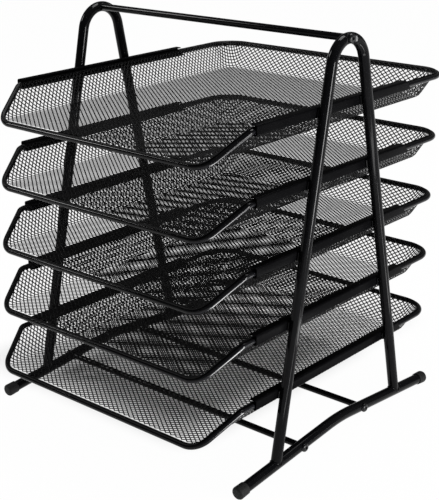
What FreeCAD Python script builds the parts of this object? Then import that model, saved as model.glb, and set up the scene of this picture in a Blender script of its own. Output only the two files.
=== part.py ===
# Stack of five mesh document trays that slide in channel rails between two A-shaped frames of bent tube.
# Millimetres. +Z is up, the open front of the trays faces -Y, and +X is the right side.
# The origin is on the desk, under the middle of the whole outline.
import FreeCAD, Part
import math
import os
import Sketcher

Vector = FreeCAD.Vector

TIERS = 5
MESH_COLUMNS = 12
MESH_ROWS = 12
SIDES = {"left": -1, "right": 1}
ENDS = {"front": -1, "rear": 1}

SIZES = {
    # A-shaped side frames
    "tube_diameter": 10.0,
    "tube_wall": 1.0,
    "frame_spacing": 299.0,
    "apex_above_rail": 63.4,
    "apex_bend": 24.0,
    "leg_spread": 188.0,
    "foot_span": 289.0,
    "foot_end_height": 5.6,
    "foot_rise": 13.3,
    "foot_bend": 180.0,
    # Rubber caps on the ends of the feet
    "cap_diameter": 12.0,
    "cap_grip": 8.5,
    "cap_end": 3.0,
    "cap_rounding": 2.4,
    "cap_clearance": 0.05,
    # Bars across the frames and their screws
    "handle_diameter": 6.5,
    "rod_diameter": 6.0,
    "front_rod_offset": 58.5,
    "rear_rod_offset": 35.5,
    "screw_diameter": 4.0,
    "screw_clearance": 0.1,
    "screw_engagement": 9.0,
    "thread_spare": 1.5,
    "head_diameter": 8.4,
    "head_height": 2.6,
    "head_rounding": 1.9,
    "seat_depth": 0.6,
    "dimple_depth": 2.4,
    "dimple_width": 10.4,
    "dimple_reach": 40.0,
    "socket_width": 2.5,
    "socket_depth": 1.4,
    # Rails
    "rail_length": 226.0,
    "rail_setback": -2.0,
    "rail_height": 9.4,
    "rail_rake": 7.6,
    "rail_flange": 7.5,
    "rail_thickness": 1.0,
    "rail_bend": 0.8,
    "lowest_rail": 68.4,
    "tier_pitch": 60.0,
    # Trays
    "wire_diameter": 5.0,
    "wire_seat_gap": 0.3,
    "wire_side_gap": 0.5,
    "tray_depth": 340.5,
    "rear_corner": 28.0,
    "lip_run": 38.5,
    "lip_drop": 25.5,
    "lip_corner": 20.0,
    "lip_bend": 7.0,
    "stop_gap": 2.2,
    "tray_stagger": 3.4,
    "wall_angle": 57.0,
    "sheet_thickness": 1.0,
    "floor_bend": 8.0,
    "lip_overrun": 5.5,
    "mesh_border": 5.0,
    "mesh_bar": 5.0,
}

document = FreeCAD.newDocument("DocumentTrays")
sheet = document.addObject("Spreadsheet::Sheet", "Sizes")
for row, (alias, number) in enumerate(SIZES.items(), start=1):
    sheet.set(f"A{row}", alias)
    sheet.set(f"B{row}", str(number))
    sheet.setAlias(f"B{row}", alias)
document.recompute()
sub_parts = []


# Places that several pieces share, as expressions on the sheet

HALF_SPACING = "Sizes.frame_spacing / 2"
TUBE_RADIUS = "Sizes.tube_diameter / 2"
FOOT_SLOPE = "Sizes.foot_rise / (Sizes.foot_span / 2)"
FOOT_ANGLE = f"atan({FOOT_SLOPE})"
LEG_FOOT_HEIGHT = f"Sizes.foot_end_height + Sizes.foot_rise - {FOOT_SLOPE} * Sizes.leg_spread / 2"
APEX_HEIGHT = f"(Sizes.lowest_rail + {TIERS - 1} * Sizes.tier_pitch + Sizes.apex_above_rail)"
APEX_CENTRE = f"{APEX_HEIGHT} - Sizes.apex_bend"
SCREW_HOLE = "Sizes.screw_diameter + 2 * Sizes.screw_clearance"
HEAD_SEAT = "Sizes.head_diameter + 2 * Sizes.screw_clearance"
THREAD_DEPTH = "(Sizes.screw_engagement + Sizes.thread_spare)"

# The top tray is pushed right in, and each tray below it stands a little further out
MIDDLE_TIER = (TIERS + 1) / 2
RAIL_FRONT = (f"{MIDDLE_TIER - 1} * Sizes.tray_stagger - Sizes.tray_depth / 2 + Sizes.lip_run"
              " + Sizes.stop_gap")
RAIL_MIDDLE = f"{RAIL_FRONT} + Sizes.rail_length / 2"
FRAME_MIDDLE = f"{RAIL_MIDDLE} - Sizes.rail_setback"
RAIL_FACE = f"{HALF_SPACING} - {TUBE_RADIUS}"
RIM_HALF_WIDTH = (f"{RAIL_FACE} - Sizes.rail_thickness - Sizes.wire_side_gap"
                  " - Sizes.wire_diameter / 2")
RIM_ABOVE_RAIL = "Sizes.rail_thickness + Sizes.wire_seat_gap + Sizes.wire_diameter / 2"

# The sheet lies against the cavity side of the wire, so its outer face is a wire radius from the wire's middle
WIRE_RADIUS = "Sizes.wire_diameter / 2"
FLOOR_BELOW_RIM = f"Sizes.lip_drop - {WIRE_RADIUS}"
FLOOR_INSET = (f"{WIRE_RADIUS} * sin(Sizes.wall_angle) + ({FLOOR_BELOW_RIM} + {WIRE_RADIUS} * cos(Sizes.wall_angle))"
               " / tan(Sizes.wall_angle)")
SHEET_INSET = "Sizes.sheet_thickness * tan(Sizes.wall_angle / 2)"


def size(name):
    return float(sheet.get(name))


def rod_along(end_name, end):
    "Distance of a cross rod behind the middle of the side frames."
    return f"{end} * Sizes.{end_name}_rod_offset"


def rod_height(end_name):
    "Height of a cross rod, on the middle line of the sloping foot tubes."
    return f"Sizes.foot_end_height + Sizes.foot_rise - {FOOT_SLOPE} * Sizes.{end_name}_rod_offset"


def rail_height_of(tier):
    "Height of the underside of a tier's rails, counted from the top tier down."
    return f"Sizes.lowest_rail + {TIERS - tier} * Sizes.tier_pitch"


# Document helpers

def new_body(name):
    return document.addObject("PartDesign::Body", name)


def new_sketch(body, plane, name, offset=None):
    "Sketch on one of the body's own origin planes, moved along the plane's normal by an expression."
    sketch = body.newObject("Sketcher::SketchObject", name)
    support = next(feature for feature in body.Origin.OriginFeatures if feature.Role == plane)
    sketch.AttachmentSupport = [(support, "")]
    sketch.MapMode = "FlatFace"
    if offset is not None:
        sketch.setExpression("AttachmentOffset.Base.z", offset)
    return sketch


def bind(sketch, constraint, expression):
    "Adds a dimension to a sketch and ties it to the sheet."
    index = sketch.addConstraint(constraint)
    sketch.setExpression(f"Constraints[{index}]", expression)


def place_point(sketch, geometry, point, across, up):
    "Ties a point of a sketch to its distances from the sketch's origin."
    bind(sketch, Sketcher.Constraint("DistanceX", -1, 1, geometry, point, evaluate(across)), across)
    bind(sketch, Sketcher.Constraint("DistanceY", -1, 1, geometry, point, evaluate(up)), up)


def add_circle(sketch, diameter, across="0", up="0", guess=(0.0, 0.0)):
    circle = sketch.addGeometry(Part.Circle(Vector(*guess, 0), Vector(0, 0, 1), 3.0))
    bind(sketch, Sketcher.Constraint("Diameter", circle, 6.0), diameter)
    place_point(sketch, circle, 3, across, up)
    return circle


def add_polygon(sketch, corners):
    "Closed outline of straight edges, each corner tied to a pair of expressions."
    numbers = [Vector(evaluate(across), evaluate(up), 0) for across, up in corners]
    edges = []
    for start, end in zip(numbers, numbers[1:] + numbers[:1]):
        edges.append(sketch.addGeometry(Part.LineSegment(start, end)))
    for edge, following in zip(edges, edges[1:] + edges[:1]):
        sketch.addConstraint(Sketcher.Constraint("Coincident", edge, 2, following, 1))
    for edge, (across, up) in zip(edges, corners):
        place_point(sketch, edge, 1, across, up)
    return edges


def evaluate(expression):
    "Number that an expression on the sheet has now."
    value = sheet.evalExpression(expression)
    return float(getattr(value, "Value", value))


def bind_place(item, across=None, along=None, up=None):
    for axis, expression in (("x", across), ("y", along), ("z", up)):
        if expression is not None:
            item.setExpression(f"Placement.Base.{axis}", expression)


def add_pad(body, sketch, length, symmetric=False):
    pad = body.newObject("PartDesign::Pad", sketch.Name + "Pad")
    pad.Profile = sketch
    pad.setExpression("Length", length)
    if symmetric:
        pad.SideType = "Symmetric"
    document.recompute()
    return pad


def add_pocket(body, sketch, depth=None, reverse=False):
    "Pocket of a given depth, or right through both ways where no depth is given."
    volume = body.Tip.Shape.Volume
    pocket = body.newObject("PartDesign::Pocket", sketch.Name + "Pocket")
    pocket.Profile = sketch
    if depth is None:
        pocket.Type = "ThroughAll"
        pocket.SideType = "Symmetric"
    else:
        pocket.setExpression("Length", depth)
        pocket.Reversed = reverse
    document.recompute()
    if pocket.Shape.Volume > volume - 1e-6:
        raise RuntimeError(f"{pocket.Name} cuts nothing")
    return pocket


def add_pipe(body, kind, path, profile):
    pipe = body.newObject(f"PartDesign::{kind}Pipe", path.Name + kind)
    pipe.Profile = profile
    pipe.Spine = (path, [f"Edge{number + 1}" for number in range(path.GeometryCount)])
    document.recompute()
    return pipe


def add_ring(body, path, name, diameters):
    "Round section square to the start of a path, with one circle for each diameter."
    profile = body.newObject("Sketcher::SketchObject", name)
    document.recompute()
    profile.AttachmentSupport = [(path, "Edge1")]
    profile.MapMode = "NormalToEdge"
    for diameter in diameters:
        add_circle(profile, diameter)
    document.recompute()
    return profile


def hand_in(item, label):
    "Keeps an object as a finished sub-part under its own label."
    item.Label = label
    sub_parts.append(item)
    return item


# Tube paths

def add_bent_path(sketch, start, centre_height, radius, crest_height):
    "Two straight runs, mirrored about the upright axis, joined by a tangent arc at the top."
    half, low = evaluate(start[0]), evaluate(start[1])
    middle = evaluate(centre_height)
    bend = evaluate(radius)
    crest = evaluate(crest_height)
    slope = math.atan2(crest - low, half)
    touch = Vector(bend * math.sin(slope), middle + bend * math.cos(slope), 0)
    mirrored = Vector(-touch.x, touch.y, 0)
    front = sketch.addGeometry(Part.LineSegment(Vector(-half, low, 0), mirrored))
    arc = sketch.addGeometry(Part.Arc(mirrored, Vector(0, middle + bend, 0), touch))
    rear = sketch.addGeometry(Part.LineSegment(touch, Vector(half, low, 0)))
    sketch.addConstraint(Sketcher.Constraint("Tangent", front, 2, arc, 2))
    sketch.addConstraint(Sketcher.Constraint("Tangent", rear, 1, arc, 1))
    bind(sketch, Sketcher.Constraint("Radius", arc, bend), radius)
    place_point(sketch, arc, 3, "0", centre_height)
    place_point(sketch, rear, 2, *start)
    sketch.addConstraint(Sketcher.Constraint("Symmetric", front, 1, rear, 2, -2))


def add_foot_path(body, name):
    sketch = new_sketch(body, "YZ_Plane", name)
    crest = "Sizes.foot_end_height + Sizes.foot_rise"
    centre = f"{crest} - Sizes.foot_bend / cos({FOOT_ANGLE})"
    add_bent_path(sketch, ("Sizes.foot_span / 2", "Sizes.foot_end_height"), centre, "Sizes.foot_bend", crest)
    document.recompute()
    return sketch


def add_hoop_path(body, name):
    sketch = new_sketch(body, "YZ_Plane", name)
    start = ("Sizes.leg_spread / 2", LEG_FOOT_HEIGHT)
    add_bent_path(sketch, start, APEX_CENTRE, "Sizes.apex_bend", f"1.3 * {APEX_HEIGHT}")
    document.recompute()
    return sketch


def add_screw_hole(body, name, along, up, seat_depth, seat_width):
    "Hole across a tube with a flat seat for the screw's head on the outer side."
    hole = new_sketch(body, "YZ_Plane", name + "Hole")
    seat = new_sketch(body, "YZ_Plane", name + "Seat", f"{TUBE_RADIUS} - {seat_depth}")
    guess = (evaluate(along), evaluate(up))
    add_circle(hole, SCREW_HOLE, along, up, guess)
    add_circle(seat, seat_width, along, up, guess)
    document.recompute()
    add_pocket(body, hole)
    add_pocket(body, seat, seat_depth, reverse=True)


def add_crushed_core(body, name):
    "Closes the tube around the top of a hoop, where its walls are pressed together for the screw."
    core = new_sketch(body, "XZ_Plane", name)
    add_circle(core, "Sizes.tube_diameter - 2 * Sizes.tube_wall", "0", APEX_HEIGHT, (0.0, evaluate(APEX_HEIGHT)))
    add_turning_axis(core, APEX_CENTRE)
    document.recompute()
    plug = body.newObject("PartDesign::Revolution", name + "Plug")
    plug.Profile = core
    plug.ReferenceAxis = (core, ["Axis0"])
    plug.setExpression("Angle", "Sizes.dimple_reach")
    plug.Midplane = True
    document.recompute()


def add_turning_axis(sketch, height):
    "Level construction line that a profile turns about."
    level = evaluate(height)
    line = sketch.addGeometry(Part.LineSegment(Vector(-10, level, 0), Vector(10, level, 0)), True)
    sketch.addConstraint(Sketcher.Constraint("Horizontal", line))
    place_point(sketch, line, 1, "-10", height)
    bind(sketch, Sketcher.Constraint("DistanceX", line, 1, line, 2, 20.0), "20")


def stand_side(body, side):
    "Stands a side frame's piece in its plane, turned about for the left side."
    body.Placement = FreeCAD.Placement(Vector(), FreeCAD.Rotation(Vector(0, 0, 1), 90 - 90 * side))
    bind_place(body, f"{side} * {HALF_SPACING}", FRAME_MIDDLE)


# Side frames

def build_leg_hoop(side_name, side):
    body = new_body(f"{side_name.title()}Hoop")
    path = add_hoop_path(body, f"{side_name}_hoop_path")
    ring = add_ring(body, path, f"{side_name}_hoop_ring",
                    ("Sizes.tube_diameter", "Sizes.tube_diameter - 2 * Sizes.tube_wall"))
    add_pipe(body, "Additive", path, ring)
    foot = add_foot_path(body, f"{side_name}_hoop_cope")
    round_foot = add_ring(body, foot, f"{side_name}_hoop_cope_round", ("Sizes.tube_diameter",))
    add_pipe(body, "Subtractive", foot, round_foot)
    add_crushed_core(body, f"{side_name}_apex_core")
    add_screw_hole(body, f"{side_name}_apex", "0", APEX_HEIGHT, "Sizes.dimple_depth", "Sizes.dimple_width")
    stand_side(body, side)
    hand_in(body, f"{side_name}_leg_hoop")


def build_foot_tube(side_name, side):
    body = new_body(f"{side_name.title()}Foot")
    path = add_foot_path(body, f"{side_name}_foot_path")
    ring = add_ring(body, path, f"{side_name}_foot_ring",
                    ("Sizes.tube_diameter", "Sizes.tube_diameter - 2 * Sizes.tube_wall"))
    add_pipe(body, "Additive", path, ring)
    for end_name, end in ENDS.items():
        add_screw_hole(body, f"{side_name}_{end_name}_rod", f"{side} * ({rod_along(end_name, end)})",
                       rod_height(end_name), "Sizes.seat_depth", HEAD_SEAT)
    stand_side(body, side)
    hand_in(body, f"{side_name}_foot_tube")


def build_foot_cap(side_name, side, end_name, end):
    "Rubber cup over a tube end, cut flat where it stands on the desk."
    body = new_body(f"{side_name.title()}{end_name.title()}Cap")
    sketch = new_sketch(body, "YZ_Plane", f"{side_name}_{end_name}_cap_outline")
    bore = f"{TUBE_RADIUS} + Sizes.cap_clearance"
    outside = "Sizes.cap_diameter / 2"
    add_polygon(sketch, [("0", "0"), ("Sizes.cap_end", "0"), ("Sizes.cap_end", outside),
                         ("-Sizes.cap_grip", outside), ("-Sizes.cap_grip", bore), ("0", bore)])
    cup = body.newObject("PartDesign::Revolution", f"{side_name}_{end_name}_cup")
    cup.Profile = sketch
    cup.ReferenceAxis = (sketch, ["H_Axis"])
    document.recompute()
    rounding = body.newObject("PartDesign::Fillet", f"{side_name}_{end_name}_cup_rounding")
    rim = [number for number, edge in enumerate(cup.Shape.Edges, start=1) if is_end_rim(edge)]
    rounding.Base = (cup, [f"Edge{number}" for number in rim])
    rounding.setExpression("Radius", "Sizes.cap_rounding")
    turn = FreeCAD.Rotation(Vector(0, 0, 1), 90 - 90 * end)
    tilt = FreeCAD.Rotation(Vector(1, 0, 0), -end * evaluate(FOOT_ANGLE))
    body.Placement = FreeCAD.Placement(Vector(), tilt.multiply(turn))
    bind_place(body, f"{side} * {HALF_SPACING}", f"{FRAME_MIDDLE} + {end} * Sizes.foot_span / 2",
               "Sizes.foot_end_height")
    desk = document.addObject("Part::Box", f"{side_name}_{end_name}_desk")
    for length in ("Length", "Width", "Height"):
        desk.setExpression(length, "4 * Sizes.cap_diameter")
    bind_place(desk, f"{side} * {HALF_SPACING} - 2 * Sizes.cap_diameter",
               f"{FRAME_MIDDLE} + {end} * Sizes.foot_span / 2 - 2 * Sizes.cap_diameter",
               "-4 * Sizes.cap_diameter")
    cap = document.addObject("Part::Cut", f"{side_name}_{end_name}_cap")
    cap.Base = body
    cap.Tool = desk
    hand_in(cap, f"{side_name}_{end_name}_foot_cap")


def is_end_rim(edge):
    "True for the outer edge of a cap's closed end."
    curve = edge.Curve
    if not isinstance(curve, Part.Circle):
        return False
    return abs(curve.Radius - size("cap_diameter") / 2) < 1e-6 and abs(curve.Center.y - size("cap_end")) < 1e-6


# Bars across the frames

def add_thread_holes(body, name):
    "Tapped holes in both ends of a bar, as deep as the screws reach and a little more."
    for side in SIDES.values():
        plane = f"{side} * ({HALF_SPACING} - {TUBE_RADIUS} - {THREAD_DEPTH})"
        sketch = new_sketch(body, "YZ_Plane", f"{name}_thread_{'right' if side > 0 else 'left'}", plane)
        add_circle(sketch, SCREW_HOLE)
        document.recompute()
        add_pocket(body, sketch, f"{THREAD_DEPTH} + {TUBE_RADIUS}", reverse=side > 0)


def build_handle_bar():
    "Round bar whose ends are hollowed to sit on the round tops of the hoops."
    body = new_body("Handle")
    section = new_sketch(body, "YZ_Plane", "handle_section")
    add_circle(section, "Sizes.handle_diameter")
    document.recompute()
    add_pad(body, section, "Sizes.frame_spacing", symmetric=True)
    saddle = new_sketch(body, "XZ_Plane", "handle_saddles")
    for side in SIDES.values():
        add_circle(saddle, "Sizes.tube_diameter", f"{side} * {HALF_SPACING}", "0",
                   (side * evaluate(HALF_SPACING), 0.0))
    add_turning_axis(saddle, "-Sizes.apex_bend")
    document.recompute()
    groove = body.newObject("PartDesign::Groove", "handle_groove")
    groove.Profile = saddle
    groove.ReferenceAxis = (saddle, ["Axis0"])
    document.recompute()
    add_thread_holes(body, "handle")
    bind_place(body, None, FRAME_MIDDLE, APEX_HEIGHT)
    hand_in(body, "handle_bar")


def build_cross_rod(end_name, end):
    "Round rod whose ends are hollowed to sit on the sloping foot tubes."
    body = new_body(f"{end_name.title()}Rod")
    section = new_sketch(body, "YZ_Plane", f"{end_name}_rod_section")
    add_circle(section, "Sizes.rod_diameter")
    document.recompute()
    add_pad(body, section, "Sizes.frame_spacing", symmetric=True)
    saddle = new_sketch(body, "XZ_Plane", f"{end_name}_rod_saddles")
    for side in SIDES.values():
        add_circle(saddle, "Sizes.tube_diameter", f"{side} * {HALF_SPACING}", "0",
                   (side * evaluate(HALF_SPACING), 0.0))
    document.recompute()
    add_pocket(body, saddle)
    add_thread_holes(body, f"{end_name}_rod")
    body.Placement = FreeCAD.Placement(Vector(), FreeCAD.Rotation(Vector(1, 0, 0), -end * evaluate(FOOT_ANGLE)))
    bind_place(body, None, f"{FRAME_MIDDLE} + {rod_along(end_name, end)}", rod_height(end_name))
    hand_in(body, f"{end_name}_cross_rod")


def build_screw(name, side, along, up, seat_depth):
    "Button head screw that points inward along X, with a hexagon socket in its head."
    body = new_body(name + "Body")
    outline = new_sketch(body, "XZ_Plane", name + "_outline")
    reach = f"Sizes.tube_diameter - {seat_depth} + Sizes.screw_engagement"
    head = "Sizes.head_diameter / 2"
    shank = "Sizes.screw_diameter / 2"
    add_polygon(outline, [(f"-({reach})", "0"), ("Sizes.head_height", "0"), ("Sizes.head_height", head),
                          ("0", head), ("0", shank), (f"-({reach})", shank)])
    turned = body.newObject("PartDesign::Revolution", name + "_turned")
    turned.Profile = outline
    turned.ReferenceAxis = (outline, ["H_Axis"])
    document.recompute()
    rounding = body.newObject("PartDesign::Fillet", name + "_rounding")
    crown = [number for number, edge in enumerate(turned.Shape.Edges, start=1) if is_head_crown(edge)]
    rounding.Base = (turned, [f"Edge{number}" for number in crown])
    rounding.setExpression("Radius", "Sizes.head_rounding")
    socket = document.addObject("Part::Prism", name + "_socket")
    socket.Polygon = 6
    socket.setExpression("Circumradius", "Sizes.socket_width / 2 / cos(30 deg)")
    socket.setExpression("Height", "2 * Sizes.socket_depth")
    socket.Placement.Rotation = FreeCAD.Rotation(Vector(0, 1, 0), 90)
    bind_place(socket, "Sizes.head_height - Sizes.socket_depth")
    screw = document.addObject("Part::Cut", name)
    screw.Base = body
    screw.Tool = socket
    screw.Placement = FreeCAD.Placement(Vector(), FreeCAD.Rotation(Vector(0, 0, 1), 90 - 90 * side))
    bind_place(screw, f"{side} * ({HALF_SPACING} + {TUBE_RADIUS} - {seat_depth})", along, up)
    return screw


def is_head_crown(edge):
    "True for the outer edge of a screw head's free face."
    curve = edge.Curve
    if not isinstance(curve, Part.Circle):
        return False
    return abs(curve.Radius - size("head_diameter") / 2) < 1e-6 and abs(curve.Center.x - size("head_height")) < 1e-6


def build_screws():
    handle = document.addObject("Part::Compound", "HandleScrews")
    handle.Links = [build_screw(f"{name}_handle_screw", side, FRAME_MIDDLE, APEX_HEIGHT,
                                "Sizes.dimple_depth")
                    for name, side in SIDES.items()]
    hand_in(handle, "handle_screws")
    rods = document.addObject("Part::Compound", "RodScrews")
    rods.Links = [build_screw(f"{name}_{end_name}_rod_screw", side,
                              f"{FRAME_MIDDLE} + {rod_along(end_name, end)}", rod_height(end_name),
                              "Sizes.seat_depth")
                  for name, side in SIDES.items() for end_name, end in ENDS.items()]
    hand_in(rods, "cross_rod_screws")


# Rails

def build_rail(side_name, side, tier):
    "Channel of folded sheet, open towards the trays, its web against the legs and its rear end cut to a slant."
    body = new_body(f"{side_name.title()}Rail{tier}")
    block = new_sketch(body, "XZ_Plane", f"{side_name}_rail_{tier}_outside")
    add_polygon(block, [("0", "0"), ("Sizes.rail_flange", "0"),
                        ("Sizes.rail_flange", "Sizes.rail_height"), ("0", "Sizes.rail_height")])
    document.recompute()
    solid = add_pad(body, block, "Sizes.rail_length", symmetric=True)
    fold = body.newObject("PartDesign::Fillet", f"{side_name}_rail_{tier}_fold")
    bends = [number for number, edge in enumerate(solid.Shape.Edges, start=1) if is_web_edge(edge)]
    fold.Base = (solid, [f"Edge{number}" for number in bends])
    fold.setExpression("Radius", "Sizes.rail_bend + Sizes.rail_thickness")
    document.recompute()
    channel = new_sketch(body, "XZ_Plane", f"{side_name}_rail_{tier}_channel")
    low = "Sizes.rail_thickness"
    high = "Sizes.rail_height - Sizes.rail_thickness"
    far = "Sizes.rail_flange + Sizes.rail_thickness"
    add_polygon(channel, [("Sizes.rail_thickness", low), (far, low), (far, high), ("Sizes.rail_thickness", high)])
    document.recompute()
    hollow = add_pocket(body, channel)
    inside = body.newObject("PartDesign::Fillet", f"{side_name}_rail_{tier}_inside")
    corners = [number for number, edge in enumerate(hollow.Shape.Edges, start=1) if is_channel_corner(edge)]
    inside.Base = (hollow, [f"Edge{number}" for number in corners])
    inside.setExpression("Radius", "Sizes.rail_bend")
    document.recompute()
    slant = new_sketch(body, "YZ_Plane", f"{side_name}_rail_{tier}_slant")
    back = f"{-side} * Sizes.rail_length / 2"
    add_polygon(slant, [(back, "0"), (back, "Sizes.rail_height"),
                        (f"{-side} * (Sizes.rail_length / 2 - Sizes.rail_rake)", "Sizes.rail_height")])
    document.recompute()
    add_pocket(body, slant)
    body.Placement = FreeCAD.Placement(Vector(), FreeCAD.Rotation(Vector(0, 0, 1), 90 + 90 * side))
    bind_place(body, f"{side} * ({RAIL_FACE})", RAIL_MIDDLE, rail_height_of(tier))
    hand_in(body, f"{side_name}_rail_{tier}")


def runs_lengthwise(edge):
    direction = edge.Vertexes[-1].Point - edge.Vertexes[0].Point
    return direction.Length > 1e-6 and abs(direction.y) > 0.999 * direction.Length


def is_web_edge(edge):
    "True for the two long edges on the outer face of a rail's web."
    return runs_lengthwise(edge) and abs(edge.CenterOfMass.x) < 1e-6


def is_channel_corner(edge):
    "True for the two long inner corners of a rail's channel."
    inset = size("rail_thickness")
    centre = edge.CenterOfMass
    level = min(abs(centre.z - inset), abs(centre.z - size("rail_height") + inset))
    return runs_lengthwise(edge) and abs(centre.x - inset) < 1e-6 and level < 1e-6


# Trays

def rounded_loop(corners):
    "Closed path of straight runs and tangent arcs through corner points, each with its own bend radius."
    arcs = []
    for number, (corner, radius) in enumerate(corners):
        before = (corners[number - 1][0] - corner).normalize()
        after = (corners[(number + 1) % len(corners)][0] - corner).normalize()
        half_angle = before.getAngle(after) / 2
        reach = radius / math.tan(half_angle)
        inward = (before + after).normalize()
        middle = corner + inward * (radius / math.sin(half_angle) - radius)
        arcs.append((corner + before * reach, middle, corner + after * reach))
    edges = []
    for arc, following in zip(arcs, arcs[1:] + arcs[:1]):
        edges.append(Part.Arc(*arc).toShape())
        edges.append(Part.LineSegment(arc[2], following[0]).toShape())
    return Part.Wire(edges)


def rim_path():
    "Middle line of a tray's rim wire: level at the back and sides, one bend down to the low front lip."
    half = evaluate(RIM_HALF_WIDTH)
    back = size("tray_depth") / 2
    bend = size("lip_run") - back
    drop = size("lip_drop")
    lip_half = half - drop / math.tan(math.radians(size("wall_angle")))
    right = [(Vector(half, back, 0), size("rear_corner")),
             (Vector(half, bend, 0), size("lip_bend")),
             (Vector(lip_half, -back, -drop), size("lip_corner"))]
    left = [(Vector(-point.x, point.y, point.z), radius) for point, radius in reversed(right)]
    return rounded_loop(right + left)


def tray_place(item, tier):
    "Stands a tray's piece in its rails; its own origin is the middle of the rim at the wire's height."
    bind_place(item, None, f"{MIDDLE_TIER - tier} * Sizes.tray_stagger",
               f"{rail_height_of(tier)} + {RIM_ABOVE_RAIL}")


def build_rim_wire(tier):
    path = rim_path()
    start = path.Edges[1]
    section = Part.Circle(start.valueAt(start.FirstParameter), start.tangentAt(start.FirstParameter),
                          size("wire_diameter") / 2)
    edges = path.Edges[1:] + path.Edges[:1]
    wire = document.addObject("Part::Feature", f"RimWire{tier}")
    wire.Shape = Part.Wire(edges).makePipeShell([Part.Wire([section.toShape()])], True, False)
    tray_place(wire, tier)
    hand_in(wire, f"tray_{tier}_rim_wire")


def build_mesh_openings():
    "Upright prisms that open the mesh: the field inside the rim, parted by bars lengthwise and across."
    body = new_body("MeshOpenings")
    body.AllowCompound = True
    half = f"({RIM_HALF_WIDTH} - Sizes.mesh_border)"
    back = "(Sizes.tray_depth / 2 - Sizes.mesh_border)"
    bend = "Sizes.lip_run - Sizes.tray_depth / 2"
    lip_half = f"({half} - Sizes.lip_drop / tan(Sizes.wall_angle))"
    field = new_sketch(body, "XY_Plane", "MeshField")
    add_polygon(field, [(half, back), (f"-{half}", back), (f"-{half}", bend), (f"-{lip_half}", f"-{back}"),
                        (lip_half, f"-{back}"), (half, bend)])
    document.recompute()
    block = add_pad(body, field, "4 * Sizes.lip_drop", symmetric=True)
    rear = [number for number, edge in enumerate(block.Shape.Edges, start=1) if stands_at(edge, evaluate(back))]
    corners = body.newObject("PartDesign::Fillet", "MeshFieldCorners")
    corners.Base = (block, [f"Edge{number}" for number in rear])
    corners.setExpression("Radius", "Sizes.rear_corner - Sizes.mesh_border")
    document.recompute()
    add_mesh_bars(body, "LengthwiseBars", half, "Sizes.tray_depth", MESH_COLUMNS)
    add_mesh_bars(body, "CrosswiseBars", back, "Sizes.frame_spacing", MESH_ROWS, crosswise=True)
    return body


def stands_at(edge, along):
    "True for an upright edge at the given distance along Y."
    box = edge.BoundBox
    return box.ZLength > box.DiagonalLength - 1e-6 and abs(box.Center.y - along) < 1e-6


def add_mesh_bars(body, name, reach, length, openings, crosswise=False):
    "Parts the field evenly by bars, each a cut right through it, one fewer than the openings in a row."
    bars = new_sketch(body, "XY_Plane", name)
    pitch = f"(2 * {reach} + Sizes.mesh_bar) / {openings}"
    for number in range(1, openings):
        near = f"{number} * {pitch} - {reach} - Sizes.mesh_bar"
        far = f"{near} + Sizes.mesh_bar"
        corners = [(near, f"-{length}"), (far, f"-{length}"), (far, length), (near, length)]
        if crosswise:
            corners = [(along, across) for across, along in corners]
        add_polygon(bars, corners)
    document.recompute()
    add_pocket(body, bars)


def build_mesh_basket(tier, openings):
    "Pressed sheet: a flat floor, walls that lean outward, rounded folds and an open, sloping front."
    outside = build_tub(f"Basket{tier}Outside", "0", f"-({FLOOR_BELOW_RIM})",
                        "Sizes.floor_bend + Sizes.sheet_thickness")
    inside = build_tub(f"Basket{tier}Inside", SHEET_INSET, f"Sizes.sheet_thickness - ({FLOOR_BELOW_RIM})",
                       "Sizes.floor_bend")
    lip = new_sketch(outside, "YZ_Plane", f"basket_{tier}_lip")
    back = "Sizes.tray_depth / 2"
    top_edge = f"{WIRE_RADIUS} + Sizes.sheet_thickness"
    far = f"-({back} + 2 * Sizes.lip_run)"
    below = "-2 * Sizes.lip_drop"
    above = "2 * Sizes.lip_drop"
    add_polygon(lip, [(f"Sizes.lip_run - {back}", top_edge), (f"Sizes.lip_run - {back}", above), (far, above),
                      (far, below), (f"-({back})", below), (f"-({back})", f"{top_edge} - Sizes.lip_drop")])
    document.recompute()
    add_pocket(outside, lip)
    pressed = document.addObject("Part::Cut", f"Basket{tier}Sheet")
    pressed.Base = outside
    pressed.Tool = inside
    basket = document.addObject("Part::Cut", f"Basket{tier}")
    basket.Base = pressed
    basket.Tool = openings
    tray_place(basket, tier)
    hand_in(basket, f"tray_{tier}_mesh_basket")


def build_tub(name, inset, level, bend):
    "Solid tub with leaning walls on a floor at the given level, its outline drawn in by the inset."
    body = new_body(name)
    floor = new_sketch(body, "XY_Plane", name + "Floor", level)
    add_floor_outline(floor, inset)
    document.recompute()
    tub = add_pad(body, floor, f"{FLOOR_BELOW_RIM} + {WIRE_RADIUS}")
    tub.setExpression("TaperAngle", "90 deg - Sizes.wall_angle * 1 deg")
    document.recompute()
    fold = body.newObject("PartDesign::Fillet", name + "Fold")
    bottom = tub.Shape.BoundBox.ZMin
    low = [number for number, edge in enumerate(tub.Shape.Edges, start=1) if edge.BoundBox.ZMax < bottom + 1e-6]
    fold.Base = (tub, [f"Edge{number}" for number in low])
    fold.setExpression("Radius", bend)
    document.recompute()
    return body


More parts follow.
